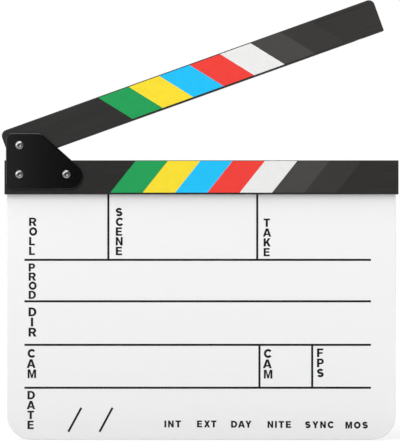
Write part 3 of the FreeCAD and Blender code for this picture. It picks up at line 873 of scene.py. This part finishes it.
# Place, width and height, watts
LAMPS = {
    "key_softbox": ((-0.95, -1.30, 1.25), (1.0, 1.0), 12.8),
    "top_softbox": ((-0.45, -0.35, 1.45), (1.0, 0.6), 8.6),
    "fill_softbox": ((1.20, -1.30, 0.15), (1.0, 1.0), 8.3),
    "rear_softbox": ((0.60, 1.40, 0.90), (1.0, 1.0), 12.0),
    "left_strip": ((-0.95, 0.03, 0.45), (0.25, 0.7), 1.2),
}
UNMIRRORED = ("top_softbox", "fill_softbox", "rear_softbox")
# Place, what it faces, width and height, watts
CARDS = {
    "hinge_card": ((-0.225, -0.36, 0.215), (-0.225, 0, 0.215), (0.14, 0.14), 0.066),
    "rim_card": ((-0.15, -0.02, 0.62), (-0.15, -0.02, 0.2), (0.40, 0.16), 0.80),
    "screw_card": ((-0.45, -0.07, 0.33), (-0.12, 0, 0.21), (0.12, 0.16), 0.18),
}


def seen_directly(tree):
    """1 for a ray from the camera, or through or off something clear or shiny; 0 for soft light."""
    path = add_node(tree, "ShaderNodeLightPath")
    seen = path.outputs["Is Camera Ray"]
    for kind in ("Is Glossy Ray", "Is Transmission Ray"):
        either = add_node(tree, "ShaderNodeMath")
        either.operation = "MAXIMUM"
        tree.links.new(seen, either.inputs[0])
        tree.links.new(path.outputs[kind], either.inputs[1])
        seen = either.outputs["Value"]
    return seen


def floor_finish():
    """Pale floor paint that takes shadows, with a glow to the eye that makes it white where it is lit.

    The lamps fade with distance, so the glow grows with it.
    """
    finish, tree, surface = new_finish("white_floor")
    surface.inputs["Base Color"].default_value = FLOOR_COLOUR
    surface.inputs["Roughness"].default_value = 0.9
    surface.inputs["Specular IOR Level"].default_value = 0.0
    surface.inputs["Emission Color"].default_value = (1, 1, 1, 1)
    place = add_node(tree, "ShaderNodeTexCoord")
    distance = add_node(tree, "ShaderNodeVectorMath")
    distance.operation = "LENGTH"
    growth = add_node(
        tree,
        "ShaderNodeMapRange",
        From_Min=LIT_REACH,
        From_Max=FADED_REACH,
        To_Min=NEAR_GLOW,
        To_Max=FAR_GLOW,
    )
    glow = add_node(tree, "ShaderNodeMath")
    glow.operation = "MULTIPLY"
    tree.links.new(place.outputs["Object"], distance.inputs[0])
    tree.links.new(distance.outputs["Value"], growth.inputs["Value"])
    tree.links.new(seen_directly(tree), glow.inputs[0])
    tree.links.new(growth.outputs["Result"], glow.inputs[1])
    tree.links.new(glow.outputs["Value"], surface.inputs["Emission Strength"])
    return finish


def light_surround():
    """A surround that looks white, is mirrored whiter from behind than in front, and lights softly."""
    world = bpy.data.worlds.new("studio")
    bpy.context.scene.world = world
    world.use_nodes = True
    tree = world.node_tree
    path = add_node(tree, "ShaderNodeLightPath")
    direction = add_node(tree, "ShaderNodeTexCoord")
    axes = add_node(tree, "ShaderNodeSeparateXYZ")
    shine = add_node(
        tree,
        "ShaderNodeMapRange",
        From_Min=FULLY_FRONT,
        From_Max=FULLY_BEHIND,
        To_Min=SURROUND_FRONT,
        To_Max=SURROUND_BEHIND,
    )
    soft = add_node(tree, "ShaderNodeMix", A=AMBIENT)
    seen = add_node(tree, "ShaderNodeMix", B=1.0)
    clear = add_node(tree, "ShaderNodeMath")
    clear.operation = "MAXIMUM"
    tree.links.new(direction.outputs["Generated"], axes.inputs["Vector"])
    tree.links.new(axes.outputs["Y"], shine.inputs["Value"])
    tree.links.new(path.outputs["Is Glossy Ray"], soft.inputs["Factor"])
    tree.links.new(shine.outputs["Result"], soft.inputs["B"])
    tree.links.new(path.outputs["Is Camera Ray"], clear.inputs[0])
    tree.links.new(path.outputs["Is Transmission Ray"], clear.inputs[1])
    tree.links.new(clear.outputs["Value"], seen.inputs["Factor"])
    tree.links.new(soft.outputs["Result"], seen.inputs["A"])
    tree.links.new(seen.outputs["Result"], tree.nodes["Background"].inputs["Strength"])
    tree.nodes["Background"].inputs["Color"].default_value = (1, 1, 1, 1)


def add_softbox(name, place, size, power, target):
    """A flat lamp of a width and height at a place, facing a target."""
    lamp = bpy.data.lights.new(name, "AREA")
    lamp.shape = "RECTANGLE"
    lamp.size, lamp.size_y = size
    lamp.energy = power
    box = bpy.data.objects.new(name, lamp)
    box.location = place
    box.rotation_euler = (target - Vector(place)).to_track_quat("-Z", "Y").to_euler()
    box.visible_camera = False
    collection.objects.link(box)
    return box


floor_mesh = bpy.data.meshes.new("floor")
floor_corners = [
    (-FLOOR_REACH, FLOOR_FRONT, 0),
    (FLOOR_REACH, FLOOR_FRONT, 0),
    (FLOOR_REACH, FLOOR_REACH, 0),
    (-FLOOR_REACH, FLOOR_REACH, 0),
]
floor_mesh.from_pydata(floor_corners, [], [(0, 1, 2, 3)])
floor_mesh.materials.append(floor_finish())
new_piece("floor", floor_mesh)
light_surround()
for name, (place, size, power) in LAMPS.items():
    softbox = add_softbox(name, place, size, power, LAMP_TARGET)
    softbox.visible_glossy = name not in UNMIRRORED
for name, (place, target, size, power) in CARDS.items():
    card = add_softbox(name, place, size, power, Vector(target))
    card.visible_diffuse = False


# Camera
# Square to the front, a little over two metres off, with a long lens that frames the open sticks
# and the slate closely.

CAMERA_DISTANCE = 2.2
SENSOR = 0.036
FRAME_HEIGHT = 0.3356
FRAME_MIDDLE_X = -0.00113
FRAME_MIDDLE_Z = 0.1670

lens = bpy.data.cameras.new("camera")
lens.sensor_width = SENSOR * 1000
lens.lens = lens.sensor_width * CAMERA_DISTANCE / FRAME_HEIGHT
camera = bpy.data.objects.new("camera", lens)
camera.location = (FRAME_MIDDLE_X, stick_low.y - CAMERA_DISTANCE, FRAME_MIDDLE_Z)
camera.rotation_euler = (math.radians(90), 0, 0)
collection.objects.link(camera)
bpy.context.scene.camera = camera
bpy.context.scene.view_settings.view_transform = "Standard"


# Final update
# Brings the view layer up to date.

bpy.context.view_layer.update()
